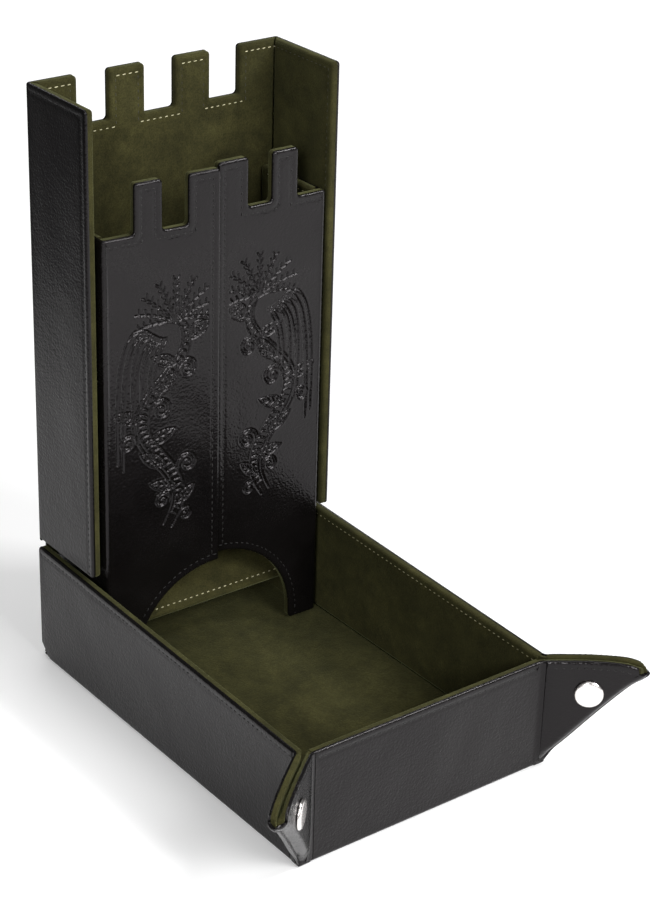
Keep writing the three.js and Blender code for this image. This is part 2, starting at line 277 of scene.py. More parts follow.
def seg_dist(pts, segs):
    """Distance from each point to the nearest of the segments [(a, b), ...]."""
    pts = np.asarray(pts, float).reshape(-1, 2)
    best = np.full(len(pts), 1e9)
    for a, b in segs:
        a, b = np.array(a, float), np.array(b, float)
        ab = b - a
        t = np.clip(((pts - a) @ ab) / max(ab @ ab, 1e-12), 0, 1)
        d = np.hypot(*(pts - (a + t[:, None] * ab)).T)
        best = np.minimum(best, d)
    return best

def inside(pts, poly):
    pts = np.asarray(pts, float).reshape(-1, 2)
    x, y = pts[:, 0], pts[:, 1]
    r = np.zeros(len(pts), bool)
    for i in range(len(poly)):
        (x1, y1), (x2, y2) = poly[i], poly[(i + 1) % len(poly)]
        if y1 == y2:
            continue
        hit = ((y1 > y) != (y2 > y)) & (x < (x2 - x1) * (y - y1) / (y2 - y1) + x1)
        r ^= hit
    return r

def edges_of(poly, attr=None, want=None):
    n = len(poly)
    return [(poly[i], poly[(i + 1) % n]) for i in range(n) if want is None or attr[i] in want]

def fill(ring, extra=(), holes=()):
    """Triangles inside a ring, through extra points, minus holes. Returns 2-D points and triangles."""
    pts = [Vector(p) for p in ring]
    es = [(i, (i + 1) % len(ring)) for i in range(len(ring))]
    for h in holes:
        o = len(pts)
        pts += [Vector(p) for p in h]
        es += [(o + i, o + (i + 1) % len(h)) for i in range(len(h))]
    pts += [Vector(p) for p in extra]
    v, e, f, *_ = geometry.delaunay_2d_cdt(pts, es, [], 1, 1e-5)
    v = np.array([tuple(p) for p in v]); f = [tuple(t) for t in f]
    c = np.array([v[list(t)].mean(0) for t in f])
    ok = inside(c, ring)
    for h in holes:
        ok &= ~inside(c, h)
    return v, [t for t, k in zip(f, ok) if k]

def waves(pts, seed, amp, size):
    """Slow, smooth unevenness of a hand-made panel."""
    rng = np.random.default_rng(seed)
    pts = np.asarray(pts, float).reshape(-1, 2)
    h = np.zeros(len(pts))
    for k in range(7):
        a, ph, s = rng.uniform(0, 6.283), rng.uniform(0, 6.283), size * rng.uniform(0.6, 1.8)
        h += np.sin((pts[:, 0] * math.cos(a) + pts[:, 1] * math.sin(a)) * 6.283 / s + ph)
    return h * amp / 2.6

# ------------------------------------------------------------- mesh builders
class Builder:
    def __init__(self):
        self.v, self.f, self.n = [], [], 0
    def add(self, verts, faces):
        self.v.append(np.asarray(verts, float).reshape(-1, 3))
        self.f += [tuple(i + self.n for i in t) for t in faces]
        self.n += len(self.v[-1])
    def ribbon(self, low, high, closed=True):
        n = len(low)
        k = n if closed else n - 1
        self.add(list(low) + list(high), [(i, (i + 1) % n, n + (i + 1) % n, n + i) for i in range(k)])

class Place:
    """A panel's own frame: origin, and unit vectors u, v and their normal."""
    def __init__(self, at, u, v):
        self.o, self.u, self.v = (np.array(x, float) for x in (at, u, v))
        self.u /= np.linalg.norm(self.u); self.v /= np.linalg.norm(self.v)
        self.w = np.cross(self.u, self.v)
    def __call__(self, p):
        p = np.asarray(p, float).reshape(-1, 3)
        return self.o + p[:, :1] * self.u + p[:, 1:2] * self.v + p[:, 2:] * self.w

made = {}
def finish_mesh(name, builder, place, mat, body=None, slot=None, replaces=(), angle=42, merge=0.004):
    v = np.concatenate(builder.v)
    v = (place(v) if place is not None else v) * 0.001
    me = bpy.data.meshes.new(name)
    me.from_pydata(v.tolist(), [], builder.f)
    bm = bmesh.new()
    bm.from_mesh(me)
    if merge:
        bmesh.ops.remove_doubles(bm, verts=bm.verts, dist=merge * 0.001)
    bmesh.ops.recalc_face_normals(bm, faces=bm.faces)
    bm.to_mesh(me)
    bm.free()
    me.polygons.foreach_set("use_smooth", [True] * len(me.polygons))
    me.set_sharp_from_angle(angle=math.radians(angle))
    o = bpy.data.objects.new(name, me)
    scene.collection.objects.link(o)
    me.materials.append(mat)
    if replaces:
        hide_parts(*replaces)
    if body:
        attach(o, body)
    made[name] = o
    return o

COVER = 1.3      # leather
R_COVER = 0.95   # rounding of the turned leather edge
R_LINING = 1.15  # rounding of the padded velvet edge
FOLD = 1.6       # the leather of a fold starts this far from the fold line
CREASE = 0.6

def roundover(d, r):
    """How far a rounded edge falls back at distance d from it."""
    d = np.clip(d, 0, r)
    return r - np.sqrt(np.maximum(r * r - (r - d) ** 2, 0))

def dots(ring, stitch_segs, step=1.0, far=5, band=6.2, region=None, region_step=0.4):
    xs = np.array(ring)
    lo, hi = xs.min(0), xs.max(0)
    gx, gy = np.arange(lo[0] + step / 2, hi[0], step), np.arange(lo[1] + step / 2, hi[1], step)
    X, Y = np.meshgrid(gx, gy, indexing="ij")
    I, J = np.meshgrid(np.arange(len(gx)), np.arange(len(gy)), indexing="ij")
    p = np.stack([X.ravel(), Y.ravel()], 1)
    coarse = ((I % far == 0) & (J % far == 0)).ravel()
    near = seg_dist(p, stitch_segs) < band if stitch_segs else np.zeros(len(p), bool)
    keep = coarse | near
    p = p[keep]
    if region:
        x0, y0, x1, y1 = region
        out = ~((p[:, 0] > x0) & (p[:, 0] < x1) & (p[:, 1] > y0) & (p[:, 1] < y1))
        p = p[out]
        X, Y = np.meshgrid(np.arange(x0, x1, region_step), np.arange(y0, y1, region_step), indexing="ij")
        q = np.stack([X.ravel(), Y.ravel()], 1)
        p = np.concatenate([p, q])
    p = p[inside(p, ring)]
    return p[seg_dist(p, edges_of(ring)) > 0.35 * min(step, 1.0)]

# The edge letters: f free, s free and stitched, h fold or hinge.
class Panel:
    def __init__(self, name, body, place, outline, kinds, bevel=None, thick=4.0, seed=0):
        self.name, self.body, self.place, self.T, self.seed = name, body, place, thick, seed
        self.outline, self.kinds = outline, kinds
        self.bevel = bevel or [1.0 if k == "h" else 0.0 for k in kinds]

def cover(P, emboss=None, region=None, fold_inset=None, stitch=True, hinge_extra=None):
    extra = (FOLD - CREASE) if hinge_extra is None else hinge_extra
    base = inset(P.outline, [extra if k == "h" else 0.0 for k in P.kinds])
    attr = [(k, b) for k, b in zip(P.kinds, P.bevel)]
    flat = [("h", b) if k == "h" else ("f", 0.0) for k, b in attr]
    out, oa = fillet(base, flat, 1.7)
    free = edges_of(out, oa, [("f", 0.0)])
    K = 5
    b = Builder()
    rings = []
    for k in range(K + 1):
        th = math.pi / 2 * k / K
        d = R_COVER * (1 - math.cos(th))
        rings.append(inset(out, [d if a[0] == "f" else 0.015 * k for a in oa]))
    stitched = edges_of(P.outline, P.kinds, ["s"])
    def height(pts):
        pts = np.asarray(pts, float).reshape(-1, 2)
        h = roundover(seg_dist(pts, free), R_COVER) if free else np.zeros(len(pts))
        dall = seg_dist(pts, edges_of(out))
        fade = np.clip((dall - 2.5) / 8, 0, 1)
        h = h + waves(pts, P.seed + 11, 0.10, 34) * fade
        if stitched and stitch:
            ds = seg_dist(pts, stitched)
            groove = 0.30 * np.exp(-((ds - 3.3) / 0.62) ** 2)
            puff = -0.16 * np.exp(-((ds - 1.7) / 0.85) ** 2)
            h = h + groove + puff
        if emboss is not None:
            h = h + emboss(pts)
        return h
    levels = [np.column_stack([r, height(r)]) for r in rings]
    for lo, hi in zip(levels[:-1], levels[1:]):
        b.ribbon(lo, hi)
    top, tris = fill(rings[-1], dots(rings[-1], stitched if stitch else [], region=region, region_step=0.33))
    b.add(np.column_stack([top, height(top)]), tris)
    back = inset(out, [0.12 if a[0] == "f" else COVER * a[1] + 0.001 for a in oa])
    b.ribbon(levels[0], np.column_stack([back, np.full(len(back), COVER)]))
    bt, tris = fill(back)
    b.add(np.column_stack([bt, np.full(len(bt), COVER)]), tris)
    P.height = height
    return finish_mesh(P.name + "_leather", b, P.place, LEATHER, P.body, "leather", [P.name + "_cover"])

def lining(P, mat=None, pocket=True, puff=0.12):
    T, w0 = P.T, COVER + 0.05
    flat = [("h", b) if k == "h" else ("f", 0.0) for k, b in zip(P.kinds, P.bevel)]
    e0 = 0.12
    tight = lambda b: 0.42 if b == 1 else 0.0       # velvet closes up in a full mitre
    out, oa = fillet(inset(P.outline, [b * T + 0.02 - tight(b) if k == "h" else e0 for k, b in zip(P.kinds, P.bevel)]), flat, 1.7)
    low, _ = fillet(inset(P.outline, [b * w0 + 0.02 - tight(b) if k == "h" else e0 for k, b in zip(P.kinds, P.bevel)]), flat, 1.7)
    K = 5
    r = R_LINING
    rh = 0.4
    rings = [inset(out, [(rh if a[0] == "h" else r) * (1 - math.cos(math.pi / 2 * k / K)) for a in oa]) for k in range(K + 1)]
    alle = edges_of(out)
    e_free, e_fold = edges_of(out, oa, [("f", 0.0)]), [e for e, a in zip(edges_of(out), oa) if a[0] == "h"]
    stitched = edges_of(P.outline, P.kinds, ["s"])
    def height(pts):
        pts = np.asarray(pts, float).reshape(-1, 2)
        d = seg_dist(pts, alle)
        drop = roundover(seg_dist(pts, e_free), r) if e_free else np.zeros(len(pts))
        if e_fold:
            drop = np.maximum(drop, roundover(seg_dist(pts, e_fold), rh))
        h = T - drop
        h = h + waves(pts, P.seed + 23, 0.14, 26) * np.clip((d - 2.5) / 8, 0, 1)
        if stitched:
            ds = seg_dist(pts, stitched)
            h = h - 0.34 * np.exp(-((ds - 3.3) / 0.8) ** 2) + puff * np.exp(-((ds - 1.6) / 0.8) ** 2)
        return h
    levels = [np.column_stack([q, height(q)]) for q in rings]
    b = Builder()
    for lo, hi in zip(levels[:-1], levels[1:]):
        b.ribbon(lo, hi)
    top, tris = fill(rings[-1], dots(rings[-1], stitched))
    b.add(np.column_stack([top, height(top)]), tris)
    bottom = np.column_stack([low, np.full(len(low), w0)])
    b.ribbon(bottom, levels[0])
    if pocket:
        core = inset(P.outline, [b0 * 1.3 + 3.05 for b0 in P.bevel])
        bt, tris = fill(low, (), [core])
        b.add(np.column_stack([bt, np.full(len(bt), w0)]), tris)
        b.ribbon(np.column_stack([core, np.full(len(core), w0)]), np.column_stack([core, np.full(len(core), 2.95)]))
        bt, tris = fill(core)
        b.add(np.column_stack([bt, np.full(len(bt), 2.95)]), tris)
    else:
        bt, tris = fill(low)
        b.add(np.column_stack([bt, np.full(len(bt), w0)]), tris)
    P.lining_height = height
    return finish_mesh(P.name + "_velvet", b, P.place, mat or VELVET, P.body, "velvet", [P.name + "_lining"])

# ---------------------------------------------------------------- stitching
def stitch_paths(outline, kinds, dist):
    """Runs of stitching at a distance inside the stitched edges, cut short at fold edges."""
    n = len(outline)
    ring = inset(outline, [dist if k != "h" else 1.2 for k in kinds])
    paths, i = [], 0
    start = next((k for k in range(n) if kinds[k] != "s"), 0)
    run = []
    for k in range(start, start + n + 1):
        e = k % n
        if kinds[e] == "s" and k < start + n:
            if not run:
                run = [ring[e]]
            run.append(ring[(e + 1) % n])
        elif run:
            paths.append(run)
            run = []
    if run:
        paths.append(run)
    return paths

def stitches(name, items, mat, body, slot, pitch=3.0, length=2.05, wide=0.26, sink=0.0, only=None):
    """items: (place, paths, height function, sign of the normal)."""
    b = Builder()
    S = 6
    st = np.array([-1, -0.8, -0.4, 0, 0.4, 0.8, 1.0])
    rad = wide * np.array([0.25, 0.72, 0.97, 1.0, 0.97, 0.72, 0.25])
    rise = np.array([-0.30, -0.10, 0.06, 0.10, 0.06, -0.10, -0.30])
    faces = []
    for i in range(len(st) - 1):
        for j in range(S):
            faces.append((i * S + j, i * S + (j + 1) % S, (i + 1) * S + (j + 1) % S, (i + 1) * S + j))
    faces.append(tuple(range(S))[::-1]); faces.append(tuple((len(st) - 1) * S + j for j in range(S)))
    for place, paths, hf, sign in items:
        for path in paths:
            path = np.array(path)
            seg = np.hypot(*np.diff(path, axis=0).T)
            total = seg.sum()
            cum = np.concatenate([[0], np.cumsum(seg)])
            n = max(1, int(round(total / pitch)))
            for k in range(n):
                s = (k + 0.5) * total / n
                i = min(np.searchsorted(cum, s) - 1, len(seg) - 1); i = max(i, 0)
                t = (path[i + 1] - path[i]) / seg[i]
                c = path[i] + t * (s - cum[i])
                if only == "upright" and abs(t[1]) < 0.7 or only == "level" and abs(t[1]) >= 0.7:
                    continue
                tilt = 0.10
                t2 = np.array([t[0] * math.cos(tilt) - t[1] * math.sin(tilt), t[0] * math.sin(tilt) + t[1] * math.cos(tilt)])
                nrm = np.array([-t2[1], t2[0]])
                h = float(hf(c)[0]) - sign * (sink * abs(t[1]) ** 2)
                verts = []
                for x, r, z in zip(st, rad, rise):
                    for j in range(S):
                        a = 2 * math.pi * j / S
                        q = c + t2 * x * length / 2 + nrm * r * math.cos(a)
                        verts.append((q[0], q[1], h + sign * (z + r * 0.85 * math.sin(a))))
                b.v.append(place(np.array(verts)))
                b.f += [tuple(q + b.n for q in f) for f in faces]
                b.n += len(verts)
    if not b.v:
        return None
    return finish_mesh(name, b, None, mat, body, slot, angle=70, merge=0)

# -------------------------------------------------------------------- folds
def fold(name, body_a, body_b, F0, F1, a, bdir, out_a, out_b, lead_a=0.0, lead_b=0.0, D=FOLD, thick=1.2, ends=(True, True), mat=None, slot="leather", blend=True, start=0.0, pinch=False):
    """Leather round a fold line from F0 to F1. a and bdir point from the line into each panel."""
    F0, F1, a, bd, na, nb = (np.array(x, float) for x in (F0, F1, a, bdir, out_a, out_b))
    turn = math.acos(max(-1, min(1, float(-a @ bd))))
    r = D / math.tan(turn / 2)
    k = 4 / 3 * math.tan(turn / 4) * r
    PA, PB = a * D, bd * D
    C1, C2 = PA - a * k, PB - bd * k
    pts, nrm = [], []
    if lead_a:
        pts.append(PA + a * lead_a); nrm.append(na)
    for i in range(9):
        t = i / 8
        p = PA * (1 - t) ** 3 + 3 * C1 * t * (1 - t) ** 2 + 3 * C2 * t * t * (1 - t) + PB * t ** 3
        n = na * (1 - t) + nb * t
        pts.append(p); nrm.append(n / np.linalg.norm(n))
    if lead_b:
        pts.append(PB + bd * lead_b); nrm.append(nb)
    pts, nrm = np.array(pts), np.array(nrm)
    L = np.linalg.norm(F1 - F0); ax = (F1 - F0) / L
    R = R_COVER
    st = []
    arc = [R * (1 - math.cos(math.pi / 2 * i / 5)) for i in range(6)]
    st += [(d, roundover(np.array([d]), R)[0]) for d in arc] if ends[0] else [(0, 0)]
    nmid = max(2, int(L / 6))
    s0, s1 = (R if ends[0] else 0), (L - R if ends[1] else L)
    st += [(s0 + (s1 - s0) * i / nmid, 0) for i in range(1, nmid)]
    st += [(L - d, roundover(np.array([d]), R)[0]) for d in arc[::-1]] if ends[1] else [(L, 0)]
    b = Builder()
    rows = []
    for s, h in st:
        o = F0 + ax * s
        q = pts
        if pinch:
            along = np.maximum(pts @ bd, 0)[:, None]
            q = pts - nb * along * math.tan(turn) * float(pinch_at(o[2]))
        outer = o + q - nrm * (h + start)
        inner = o + q - nrm * thick
        rows.append(np.concatenate([outer, inner[::-1]]))
    for lo, hi in zip(rows[:-1], rows[1:]):
        b.ribbon(lo, hi)
    n = len(rows[0])
    for row in (rows[0], rows[-1]):
        h = n // 2
        b.add(row, [(i, i + 1, n - 2 - i, n - 1 - i) for i in range(h - 1)])
    o = finish_mesh(name, b, None, mat or LEATHER, None, slot, angle=60, merge=0.001)
    if blend:
        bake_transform(o)
    else:
        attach(o, body_a)
    return o

# ------------------------------------------------------------------- panels
HALF, FRONT_Y, BACK_Y = 63.5, -97.5, 97.5
CF, CS = 5.6, 4.7
WALL_H, WALL_H_REAR, WALL_REAR_Y = 50.5, 54.8, 95.1
TOWER_HALF, WING_FRONT, WING_Z0, TOWER_Z, CREN_Z = 62.0, 52.4, 57.2, 263.4, 241.8
SPINE = 58.9
DOOR_Y, INNER_HALF, INNER_T, DOOR_T, LEAF_W = 51.6, 55.6, 3.8, 4.4, 54.4
DOOR_Z0, SHOULDER, LEAF_TOP, STEPS = 4.9, 208.5, 230.3, (14.6, 27.5, 39.5)
ARCH_R, ARCH_Z = 41.0, 9.5
AJAR = {"left": -4.7, "right": -1.0}
SIDE_FRONT, SIDE_REAR = DOOR_Y + DOOR_T + 1.4, BACK_Y - 4.4
c = CREASE
wf = FRONT_Y + CS + 0.3
X, Y, Z = (1, 0, 0), (0, 1, 0), (0, 0, 1)
rect = lambda a, b_, c_, d: [(a, b_), (c_, b_), (c_, d), (a, d)]

def flip(poly, kinds):
    n = len(poly)
    return [(-u, v) for u, v in poly][::-1], [kinds[(n - 2 - i) % n] for i in range(n)]

black, cream = {}, {}
def sew(P, dist=3.3, both=True, cover_side=True):
    if cover_side:
        black.setdefault(P.body, []).append((P.place, stitch_paths(P.outline, P.kinds, dist), P.height, -1))
    if both:
        cream.setdefault(P.body, []).append((P.place, stitch_paths(P.outline, P.kinds, dist), P.lining_height, 1))

def build(P, **k):
    he = k.pop("hinge_extra", None)
    cover(P, hinge_extra=he, emboss=k.get("emboss"), region=k.get("region"))
    if "lining_kinds" in k:
        P.kinds, P.bevel = k["lining_kinds"]
    lining(P)
    return P

floor_p = build(Panel("floor", "tray_floor", Place((0, 0, 0), X, Y), rect(-HALF + c, FRONT_Y + c, HALF - c, BACK_Y - c), list("hhhh"), seed=1))
lw = build(Panel("left_wall", "left_wall", Place((-HALF, 0, 0), Y, Z),
    [(wf, c), (WALL_REAR_Y - 6, c), (WALL_REAR_Y, c + 6), (WALL_REAR_Y, WALL_H_REAR), (wf, WALL_H)], list("hffsh"), [1, 0, 0, 0, 0], seed=2))
rw = build(Panel("right_wall", "right_wall", Place((HALF, 0, 0), (0, -1, 0), Z),
    [(-wf, c), (-wf, WALL_H), (-WALL_REAR_Y, WALL_H_REAR), (-WALL_REAR_Y, c + 6), (-WALL_REAR_Y + 6, c)], list("hsffh"), [0, 0, 0, 0, 1], seed=3))
fw = build(Panel("front_wall", "front_wall", Place((0, FRONT_Y, 0), (-1, 0, 0), Z),
    rect(-HALF + CF + 0.3, c, HALF - CF - 0.3, WALL_H), list("hhsh"), [1, 0, 0, 0], seed=4))
for P in (lw, rw, fw):
    sew(P)

th = TOWER_HALF - c
m1 = TOWER_HALF - 22; m2 = m1 - 15; m3 = m2 - 17.5
sp = WING_Z0 - 1
back_outline = [(-SPINE, c), (SPINE, c), (SPINE, sp), (th, sp), (th, TOWER_Z), (m1, TOWER_Z), (m1, CREN_Z), (m2, CREN_Z), (m2, TOWER_Z),
    (m3, TOWER_Z), (m3, CREN_Z), (-m3, CREN_Z), (-m3, TOWER_Z), (-m2, TOWER_Z), (-m2, CREN_Z), (-m1, CREN_Z), (-m1, TOWER_Z), (-th, TOWER_Z), (-th, sp), (-SPINE, sp)]
kb = list("hffh" + "s" * 13 + "hff")
bb = [1, 0, 0, 1] + [0] * 13 + [1, 0, 0]
kl = list(kb); kl[1] = kl[19] = "h"
bl = list(bb); bl[1] = bl[19] = 0.5
bp = build(Panel("back_panel", "tower", Place((0, BACK_Y, 0), X, Z), back_outline, kb, bb, seed=5), lining_kinds=(kl, bl))
bp.kinds, bp.bevel = kb, bb
lwing = build(Panel("left_wing", "left_wing", Place((-TOWER_HALF, 0, 0), Y, Z), rect(WING_FRONT, WING_Z0, BACK_Y - c, TOWER_Z), list("fhss"), seed=6))
rwing = build(Panel("right_wing", "right_wing", Place((TOWER_HALF, 0, 0), (0, -1, 0), Z), rect(-BACK_Y + c, WING_Z0, -WING_FRONT, TOWER_Z), list("fssh"), seed=7))
li = build(Panel("left_inner_side", "tower", Place((-INNER_HALF, 0, 0), Y, Z), rect(SIDE_FRONT, DOOR_Z0, SIDE_REAR, SHOULDER), list("ffsh"), [0] * 4, INNER_T, seed=8), hinge_extra=0.0)
ri = build(Panel("right_inner_side", "tower", Place((INNER_HALF, 0, 0), (0, -1, 0), Z), rect(-SIDE_REAR, DOOR_Z0, -SIDE_FRONT, SHOULDER), list("fhsf"), [0] * 4, INNER_T, seed=9), hinge_extra=0.0)
for P in (bp, lwing, rwing, li, ri):
    sew(P)

# door leaves
def leaf_outline():
    a, b_, cc = STEPS
    pts = [(0.35, DOOR_Z0), (INNER_HALF - ARCH_R, DOOR_Z0)]
    last = math.acos((INNER_HALF - LEAF_W) / ARCH_R)
    for k in range(41):
        t = last * k / 40
        pts.append((INNER_HALF - ARCH_R * math.cos(t), ARCH_Z + ARCH_R * math.sin(t)))
    n0 = len(pts)
    pts += [(LEAF_W, LEAF_TOP), (cc, LEAF_TOP), (cc, SHOULDER), (b_, SHOULDER), (b_, LEAF_TOP), (a, LEAF_TOP), (a, SHOULDER), (0.35, SHOULDER)]
    return pts, ["f"] + ["s"] * (len(pts) - 2) + ["h"]

# The embossed motif, in leaf coordinates: s from the hinge, z up. A banded vine
# climbs in three bends, with curled tendrils, pointed leaves and fern fronds.
def motif():
    lines = []
    def stem(t):
        return 26.5 + 12.5 * math.sin(2 * math.pi * (1.35 * t + 0.06)) * (0.55 + 0.45 * t), 74 + 96 * t
    def half(t):
        return 0.9 + 2.4 * math.sin(math.pi * min(1.0, 0.15 + 0.85 * t)) ** 0.7
    def frame_at(t):
        x, z = stem(t); x2, z2 = stem(t + 1e-3)
        l = math.hypot(x2 - x, z2 - z)
        return x, z, (x2 - x) / l, (z2 - z) / l
    def offset(k, t0=0.0, t1=1.0, n=90):
        out = []
        for i in range(n + 1):
            t = t0 + (t1 - t0) * i / n
            x, z, tx, tz = frame_at(t)
            out.append((x - tz * half(t) * k, z + tx * half(t) * k))
        return out
    lines.append(offset(1)); lines.append(offset(-1)); lines.append(offset(0.45, 0.06, 0.95))
    for i in range(34):                       # bands across the vine
        t = 0.05 + 0.88 * i / 33
        x, z, tx, tz = frame_at(t)
        w = half(t)
        lines.append([(x - tz * w * q + tx * 1.1 * (1 - q * q), z + tx * w * q + tz * 1.1 * (1 - q * q)) for q in (-1, -0.6, -0.2, 0.15, 0.45)])
    def curl(x, z, ang, r, turns, hand, shrink=0.86):
        out = []
        n = int(30 * turns)
        cx, cz = x + r * math.cos(ang), z + r * math.sin(ang)
        for i in range(n + 1):
            q = i / n
            a = ang + math.pi + hand * 2 * math.pi * turns * q
            rr = r * (1 - shrink * q)
            out.append((cx + rr * math.cos(a), cz + rr * math.sin(a)))
        return out
    def leaf(x, z, ang, L, W, veins=3):
        c_, s_ = math.cos(ang), math.sin(ang)
        at = lambda px, py: (x + px * c_ - py * s_, z + px * s_ + py * c_)
        for sgn in (1, -1):
            lines.append([at(L * q / 14, sgn * W * math.sin(math.pi * q / 14) ** 0.8 * (1 - 0.35 * q / 14)) for q in range(15)])
        lines.append([at(0, 0), at(L * 0.88, 0)])
        for k in range(veins):
            q = 0.2 + 0.2 * k
            for sgn in (1, -1):
                lines.append([at(L * q, 0), at(L * (q + 0.15), sgn * W * math.sin(math.pi * (q + 0.1)) * 0.74)])
    for t, hand, r, turns, tilt in [(0.04, 1, 4.0, 1.3, -12), (0.12, -1, 4.6, 1.4, 6), (0.27, 1, 5.6, 1.5, 10), (0.44, -1, 4.8, 1.4, -6), (0.56, 1, 6.0, 1.5, 4), (0.74, 1, 5.6, 1.5, -4), (0.90, 1, 4.8, 1.4, 14)]:
        x, z, tx, tz = frame_at(t)
        ang = math.radians((8 if hand > 0 else 172) + tilt * hand)
        x, z = x + hand * half(t), z
        lines.append(curl(x, z, ang, r, turns, -hand))
        lines.append([(px + 0.17 * r * math.cos(ang), pz + 0.17 * r * math.sin(ang)) for px, pz in curl(x, z, ang, r * 0.8, turns * 0.8, -hand)])
    for t, ang, L, W in [(0.10, 40, 11, 2.6), (0.19, 168, 13, 2.9), (0.30, 148, 14, 3.2), (0.42, 20, 14, 3.2), (0.54, 158, 14, 3.2), (0.66, 32, 13, 3.0), (0.78, 160, 13, 3.0), (0.88, 30, 13, 3.0)]:
        x, z, tx, tz = frame_at(t)
        leaf(x, z, math.radians(ang), L, W)
    for k in range(9):                       # long plumes, arching over to the hinge and down
        ex, ez = 5.8 + 2.1 * k + 1.2 * math.sin(2.7 * k), 108 + 4.2 * k - 8 * math.sin(1.9 * k)
        for w in (0.0, 1.0):
            a0, c0, e0 = (25 + 0.5 * k, 160 + w), (2.5 + 2.4 * k, 184 - 4.2 * k + 2.2 * w), (ex, ez + 0.5 * w)
            lines.append([((1 - q) ** 2 * a0[0] + 2 * q * (1 - q) * c0[0] + q * q * e0[0] + w * 0.9 * math.sin(math.pi * q), (1 - q) ** 2 * a0[1] + 2 * q * (1 - q) * c0[1] + q * q * e0[1]) for q in [i / 26 for i in range(27)]])
    x0, z0 = stem(1.0)
    for k in range(1, 10):
        a = math.radians(4 + 17 * k)
        L = 15 + 5 * math.sin(math.pi * k / 10)
        bend = (k - 5) * 0.05
        ln = [(x0 + L * q / 18 * math.cos(a + bend * q / 9), z0 - 3 + L * q / 18 * math.sin(a + bend * q / 9) * 0.92) for q in range(19)]
        lines.append(ln)
        for i in (6, 9, 12, 15, 18):
            px, pz = ln[i]
            for sgn in (1, -1):
                lines.append([(px, pz), (px + 2.4 * math.cos(a + sgn * 0.62), pz + 2.4 * math.sin(a + sgn * 0.62))])
    out = []
    for ln in lines:
        pts = [(min(max(px, 4.6), 48.6), min(max(pz, 68.5), 188.5)) for px, pz in ln]
        out += [(p, q) for p, q in zip(pts[:-1], pts[1:]) if math.hypot(p[0] - q[0], p[1] - q[1]) > 0.02 and not (p[0] == q[0] and p[0] in (4.6, 48.6)) and not (p[1] == q[1] and p[1] in (68.5, 188.5))]
    return out
MOTIF = motif()
MOTIF_BOX = (3.6, 67.5, 49.6, 189.5)

def emboss_for(sign):
    def f(pts):
        q = np.asarray(pts, float).reshape(-1, 2) * np.array([sign, 1.0])
        h = np.zeros(len(q))
        x0, z0, x1, z1 = MOTIF_BOX
        near = (q[:, 0] > x0) & (q[:, 0] < x1) & (q[:, 1] > z0) & (q[:, 1] < z1)
        if not near.any():
            return h
        idx = np.nonzero(near)[0]
        pp = q[idx]
        best = np.full(len(pp), 9.0)
        order = np.argsort(pp[:, 1])
        pz = pp[order, 1]
        for (a, b_) in MOTIF:
            lo, hi = min(a[1], b_[1]) - 2.2, max(a[1], b_[1]) + 2.2
            i0, i1 = np.searchsorted(pz, lo), np.searchsorted(pz, hi)
            if i0 >= i1:
                continue
            sel = order[i0:i1]
            best[sel] = np.minimum(best[sel], seg_dist(pp[sel], [(a, b_)]))
        h[idx] = 0.44 * np.exp(-(best / 0.35) ** 2) - 0.08 * np.exp(-((best - 0.9) / 0.4) ** 2)
        return h
    return f

doors = {}
for side, sign in (("left", -1), ("right", 1)):
    t = math.radians(AJAR[side])
    o, k = leaf_outline()
    if sign < 0:
        o, k = flip(o, k)
    P = Panel(side + "_door", side + "_door", Place((sign * INNER_HALF, DOOR_Y, 0), (-math.cos(t), -math.sin(t), 0), Z), o, k, [0] * len(o), DOOR_T, seed=12 + sign)
    x0, z0, x1, z1 = MOTIF_BOX
    build(P, emboss=emboss_for(sign), region=(x0, z0, x1, z1) if sign > 0 else (-x1, z0, -x0, z1), hinge_extra=FOLD - 0.35)
    sew(P)
    doors[side] = P

# ramp and upper baffle
s40, c40 = math.sin(math.radians(40)), math.cos(math.radians(40))
rp = build(Panel("ramp", "ramp", Place((0, 92.7, 48), X, (0, c40, s40)), rect(-50.5, -41.4, 50.5, -c), list("sfhf"), [0.45, 0, 0, 0], 3.6, seed=15), hinge_extra=0.2)
sew(rp, dist=3.4)
bf = build(Panel("upper_baffle", "upper_baffle", Place((0, 92.9 + 3.6 * s40, 140 - 3.6 * c40), X, (0, c40, s40)),
    rect(-50.5, -20, 50.5, -3.6 * s40 / c40), list("sfhf"), [0, 0, -s40 / c40, 0], 3.6, seed=16), hinge_extra=0.05)
sew(bf)

# -------------------------------------------------------------- corner ears
EC, ES = math.cos(math.radians(40)), math.sin(math.radians(40))
EAR_T = {"side": 3.2, "front": 2.75}
MID, ROOT, RC, TL = 3.60, 1.9, 3.5, 1.1     # mid plane between the layers, first leather, fold radius, leather
hyp = [(2.3, 0.35), (4.1, 3.4), (6.5, 7.2), (12, 13.2), (23.6, 26.4), (35.0, 38.4), (40.2, 42.2), (42.7, 44.2), (43.3, 45.6)]
ear_top = [(43.3, 45.6), (42.6, 47.1), (40.2, 48.8), (35.5, 50.5), (29, 51.3), (19, 51.5), (8, 51.0), (0.3, WALL_H)]

def smooth(pts, n):
    """Catmull-Rom through the points, n samples a span."""
    P = [pts[0]] + list(pts) + [pts[-1]]
    out = []
    for i in range(1, len(P) - 2):
        p0, p1, p2, p3 = (np.array(P[i + j], float) for j in (-1, 0, 1, 2))
        for k in range(n):
            t = k / n
            out.append(tuple(0.5 * (2 * p1 + (p2 - p0) * t + (2 * p0 - 5 * p1 + 4 * p2 - p3) * t * t + (3 * p1 - p0 - 3 * p2 + p3) * t ** 3)))
    return out + [tuple(pts[-1])]

HYP, TOP = smooth(hyp, 6), smooth(ear_top, 5)
TOP_SEGS, HYP_SEGS = list(zip(TOP[:-1], TOP[1:])), list(zip(HYP[:-1], HYP[1:]))

